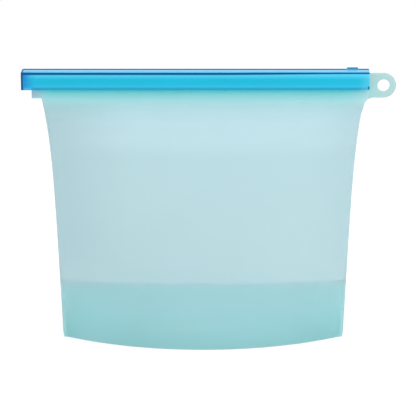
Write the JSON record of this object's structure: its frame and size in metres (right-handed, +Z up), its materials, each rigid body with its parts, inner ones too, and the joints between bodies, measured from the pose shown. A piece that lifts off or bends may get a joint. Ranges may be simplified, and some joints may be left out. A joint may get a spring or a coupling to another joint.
{
  "type": "reusable silicone food bag",
  "caption": "Soft translucent food bag that stands on a spread gusseted base, shut along its mouth by a rigid tinted slide bar, with a holed tab for hanging it.",
  "frame": {"origin": "on the floor, under the middle of the whole object from the bar's closed end to the tab's tip, and midway between the front and back walls", "axes": "+X along the slide bar towards the hanging tab, +Y from the front wall to the back wall, +Z up"},
  "size_m": [0.2316, 0.0574, 0.1731],
  "materials": {
    "silicone": "translucent pale aqua silicone rubber with a soft satin surface",
    "tinted_plastic": "clear hard plastic tinted blue, glossy, darker where it is seen edge on"
  },
  "bodies": {
    "bag": {"front_wall": "silicone", "back_wall": "silicone", "bottom_gusset": "silicone", "left_side_seam": "silicone", "right_side_seam": "silicone"},
    "bar": {"slide_bar": "tinted_plastic"},
    "front_lip": {"front_rim": "silicone"},
    "back_lip": {"back_rim": "silicone"},
    "tab": {"hanging_tab": "silicone"}
  },
  "joints": [
    {"name": "bar_slide", "type": "slide", "parent": "bag", "child": "bar", "axis": [-1, 0, 0], "range_m": [0, 0.212]},
    {"name": "front_lip_open", "type": "hinge", "parent": "bag", "child": "front_lip", "pos_m": [-0.00358, -0.0255, 0.036], "axis": [1, 0, 0], "range_deg": [0, 10], "deforming": ["front_rim"]},
    {"name": "back_lip_open", "type": "hinge", "parent": "bag", "child": "back_lip", "pos_m": [-0.00358, 0.0255, 0.036], "axis": [-1, 0, 0], "range_deg": [0, 10], "deforming": ["back_rim"]},
    {"name": "tab_flex", "type": "hinge", "parent": "bag", "child": "tab", "pos_m": [0.10162, 0, 0.1626], "axis": [0, 0, 1], "range_deg": [-35, 35]}
  ],
  "couplings": [
    {"joint": "front_lip_open", "follows": "bar_slide", "rad_per_m": 0.82},
    {"joint": "back_lip_open", "follows": "bar_slide", "rad_per_m": 0.82}
  ]
}
